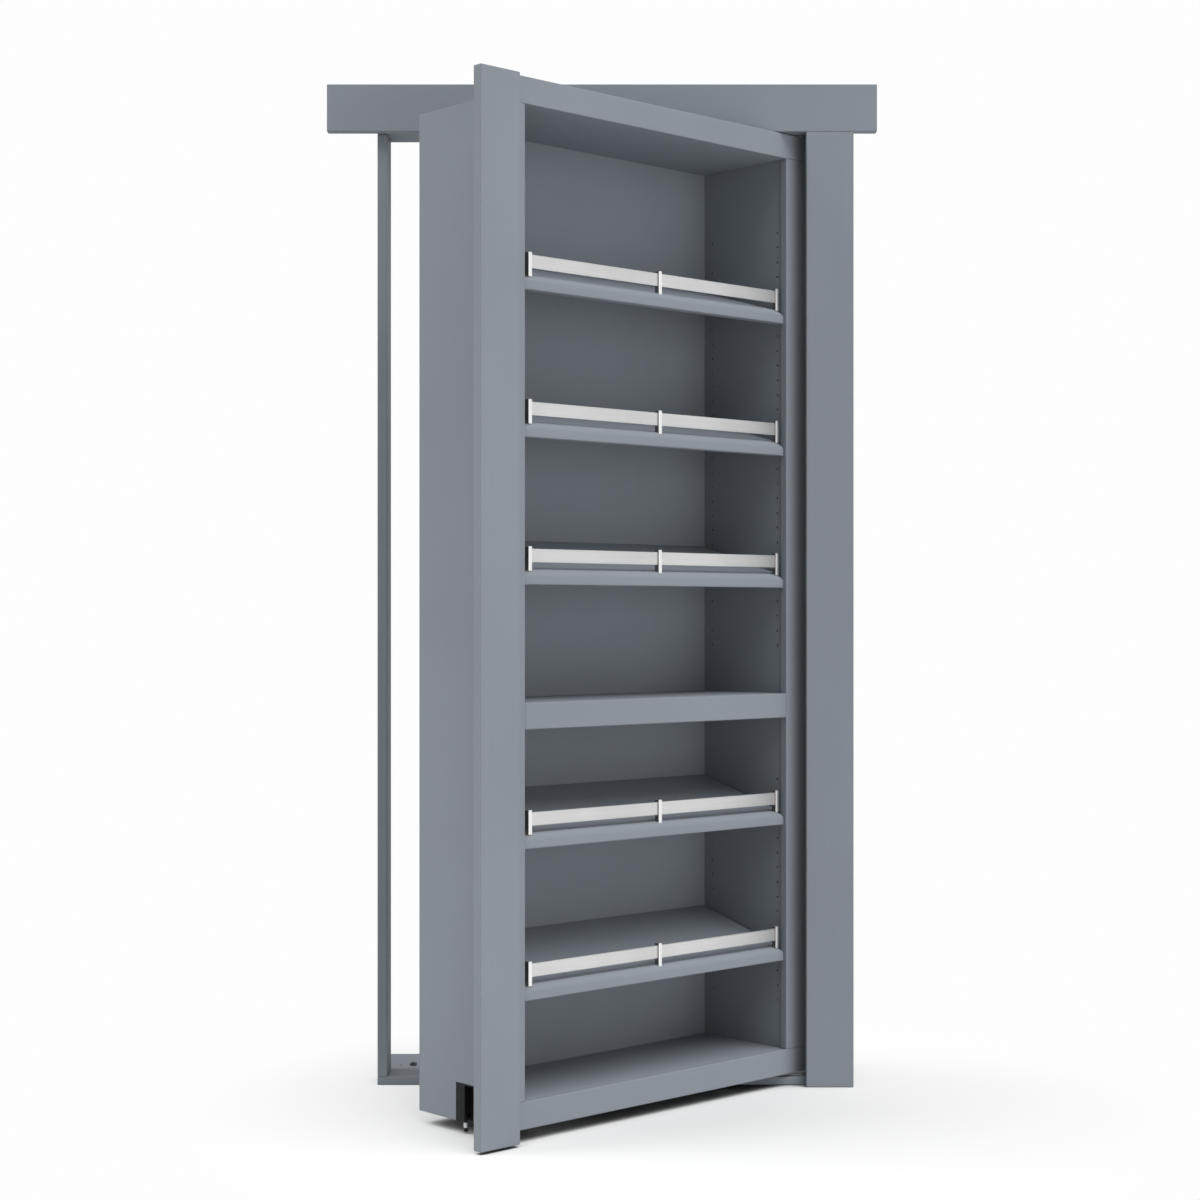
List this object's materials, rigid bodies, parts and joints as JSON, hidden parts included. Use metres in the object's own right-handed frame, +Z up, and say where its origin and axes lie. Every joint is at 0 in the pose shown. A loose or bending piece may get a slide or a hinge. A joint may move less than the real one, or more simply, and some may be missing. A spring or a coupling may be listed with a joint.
{
  "type": "shoe rack door",
  "caption": "Pivoting cabinet door with sloping shoe shelves and steel shelf fences, hung in a cased frame with a threshold and a spring latch.",
  "frame": {"origin": "middle of the threshold's underside, on the floor", "axes": "+Z up, +X from the latch jamb to the hinge jamb, +Y from the side the door opens to towards the room behind"},
  "size_m": [1.163, 0.8517, 2.12],
  "materials": {
    "painted_wood": "blue-grey satin paint",
    "fence_steel": "brushed along its length",
    "plated_steel": "bright zinc plate",
    "blackened_steel": "black oxide",
    "bearing_bronze": "turned, lightly oiled",
    "black_plastic": "matt moulded"
  },
  "bodies": {
    "frame": {"header_casing": "painted_wood", "hinge_casing": "painted_wood", "header_jamb": "painted_wood", "latch_jamb": "painted_wood", "hinge_jamb": "painted_wood", "threshold": "painted_wood", "pivot_plates": "plated_steel", "plate_screws": "plated_steel", "pivot_pins": "plated_steel", "thrust_washer": "bearing_bronze"},
    "door": {"top_rail": "painted_wood", "bottom_rail": "painted_wood", "left_stile": "painted_wood", "right_stile": "painted_wood", "middle_rail": "painted_wood", "middle_shelf": "painted_wood", "cabinet_top": "painted_wood", "cabinet_deck": "painted_wood", "back_panel": "painted_wood", "left_outer_side": "painted_wood", "left_inner_side": "painted_wood", "right_inner_side": "painted_wood", "right_outer_side": "painted_wood", "edge_trim": "painted_wood", "shoe_shelf_1": "painted_wood", "shoe_shelf_2": "painted_wood", "shoe_shelf_3": "painted_wood", "shoe_shelf_4": "painted_wood", "shoe_shelf_5": "painted_wood", "fence_posts_1": "fence_steel", "fence_posts_2": "fence_steel", "fence_posts_3": "fence_steel", "fence_posts_4": "fence_steel", "fence_posts_5": "fence_steel", "fence_rails_1": "fence_steel", "fence_rails_2": "fence_steel", "fence_rails_3": "fence_steel", "fence_rails_4": "fence_steel", "fence_rails_5": "fence_steel", "shelf_pins": "plated_steel", "lower_pivot_block": "painted_wood", "upper_pivot_block": "painted_wood", "pivot_bushes": "bearing_bronze", "latch_housing": "black_plastic", "latch_spring": "plated_steel"},
    "plunger": {"plunger_rod": "blackened_steel", "plunger_nut": "plated_steel", "plunger_tip": "black_plastic"}
  },
  "joints": [
    {"name": "door_swing", "type": "hinge", "parent": "frame", "child": "door", "pos_m": [0.384, -0.083, 0], "axis": [0, 0, 1], "range_deg": [-42.8, 47.2]},
    {"name": "plunger_slide", "type": "slide", "parent": "door", "child": "plunger", "axis": [0, 0, 1], "range_m": [0, 0.0145], "stiffness_N_per_m": 300, "springref_m": -0.012, "deforming": ["latch_spring"]}
  ]
}
